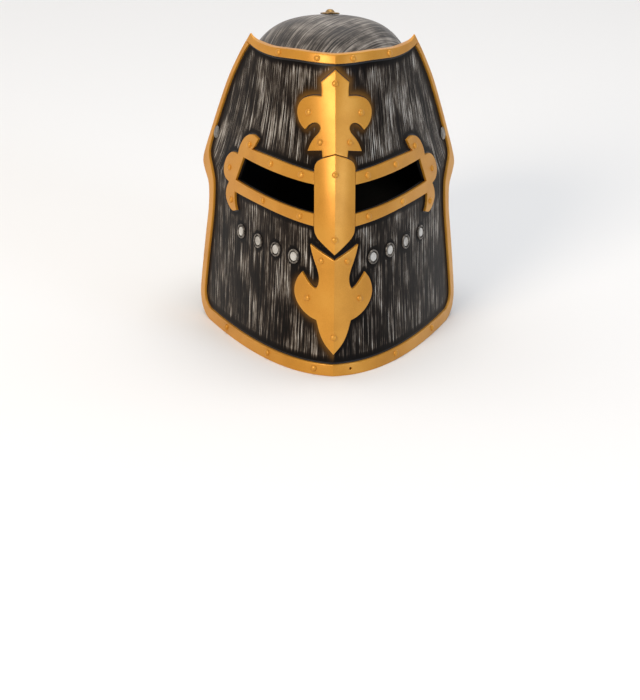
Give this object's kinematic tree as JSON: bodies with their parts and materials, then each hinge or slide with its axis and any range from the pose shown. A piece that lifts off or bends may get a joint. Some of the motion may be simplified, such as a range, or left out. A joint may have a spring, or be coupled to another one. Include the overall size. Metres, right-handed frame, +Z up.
{
  "type": "toy_great_helm",
  "caption": "Child's costume great helm in steel-look plastic with gold trim, rivets and eye slits; the keeled face plate swings up on side pivots",
  "frame": {"origin": "centre of the footprint on the surface the rim stands on, millimetre model centred front to back and side to side", "axes": "+Z up, the face looks towards -Y, +X is the wearer's left"},
  "size_m": [0.1782, 0.232, 0.2072],
  "materials": {
    "steel_look_plastic": "satin, brushed dark steel look",
    "gold_painted_plastic": "satin gold paint",
    "silver_painted_plastic": "satin silver paint"
  },
  "bodies": {
    "skull": {"skull": "steel_look_plastic", "crown_button": "gold_painted_plastic"},
    "visor": {"visor_shell": "steel_look_plastic", "top_band": "gold_painted_plastic", "edge_binding": "gold_painted_plastic", "brow_ornament": "gold_painted_plastic", "nasal": "gold_painted_plastic", "chin_ornament": "gold_painted_plastic", "eye_frame_left": "gold_painted_plastic", "eye_frame_right": "gold_painted_plastic", "brow_rivet_1": "gold_painted_plastic", "nasal_rivet_1": "gold_painted_plastic", "nasal_rivet_2": "gold_painted_plastic", "chin_rivet_1": "gold_painted_plastic", "bottom_rivet_1": "gold_painted_plastic", "top_rivet_left_1": "gold_painted_plastic", "top_rivet_left_2": "gold_painted_plastic", "brow_rivet_left_1": "gold_painted_plastic", "brow_rivet_left_2": "gold_painted_plastic", "eye_rivet_left_1": "gold_painted_plastic", "eye_rivet_left_2": "gold_painted_plastic", "eye_rivet_left_3": "gold_painted_plastic", "eye_rivet_left_4": "gold_painted_plastic", "eye_rivet_left_5": "gold_painted_plastic", "eye_rivet_left_6": "gold_painted_plastic", "eye_rivet_left_7": "gold_painted_plastic", "chin_rivet_left_1": "gold_painted_plastic", "chin_rivet_left_2": "gold_painted_plastic", "bottom_rivet_left_1": "gold_painted_plastic", "bottom_rivet_left_2": "gold_painted_plastic", "top_rivet_right_1": "gold_painted_plastic", "top_rivet_right_2": "gold_painted_plastic", "brow_rivet_right_1": "gold_painted_plastic", "brow_rivet_right_2": "gold_painted_plastic", "eye_rivet_right_1": "gold_painted_plastic", "eye_rivet_right_2": "gold_painted_plastic", "eye_rivet_right_3": "gold_painted_plastic", "eye_rivet_right_4": "gold_painted_plastic", "eye_rivet_right_5": "gold_painted_plastic", "eye_rivet_right_6": "gold_painted_plastic", "eye_rivet_right_7": "gold_painted_plastic", "chin_rivet_right_1": "gold_painted_plastic", "chin_rivet_right_2": "gold_painted_plastic", "bottom_rivet_right_1": "gold_painted_plastic", "bottom_rivet_right_2": "gold_painted_plastic", "pivot_rivet_left": "silver_painted_plastic", "breath_stud_left_1": "silver_painted_plastic", "breath_stud_left_2": "silver_painted_plastic", "breath_stud_left_3": "silver_painted_plastic", "breath_stud_left_4": "silver_painted_plastic", "pivot_rivet_right": "silver_painted_plastic", "breath_stud_right_1": "silver_painted_plastic", "breath_stud_right_2": "silver_painted_plastic", "breath_stud_right_3": "silver_painted_plastic", "breath_stud_right_4": "silver_painted_plastic"}
  },
  "joints": [
    {"name": "visor_lift", "type": "hinge", "parent": "skull", "child": "visor", "pos_m": [0, 0.01795, 0.129], "axis": [-1, 0, 0], "range_deg": [0, 45]}
  ]
}
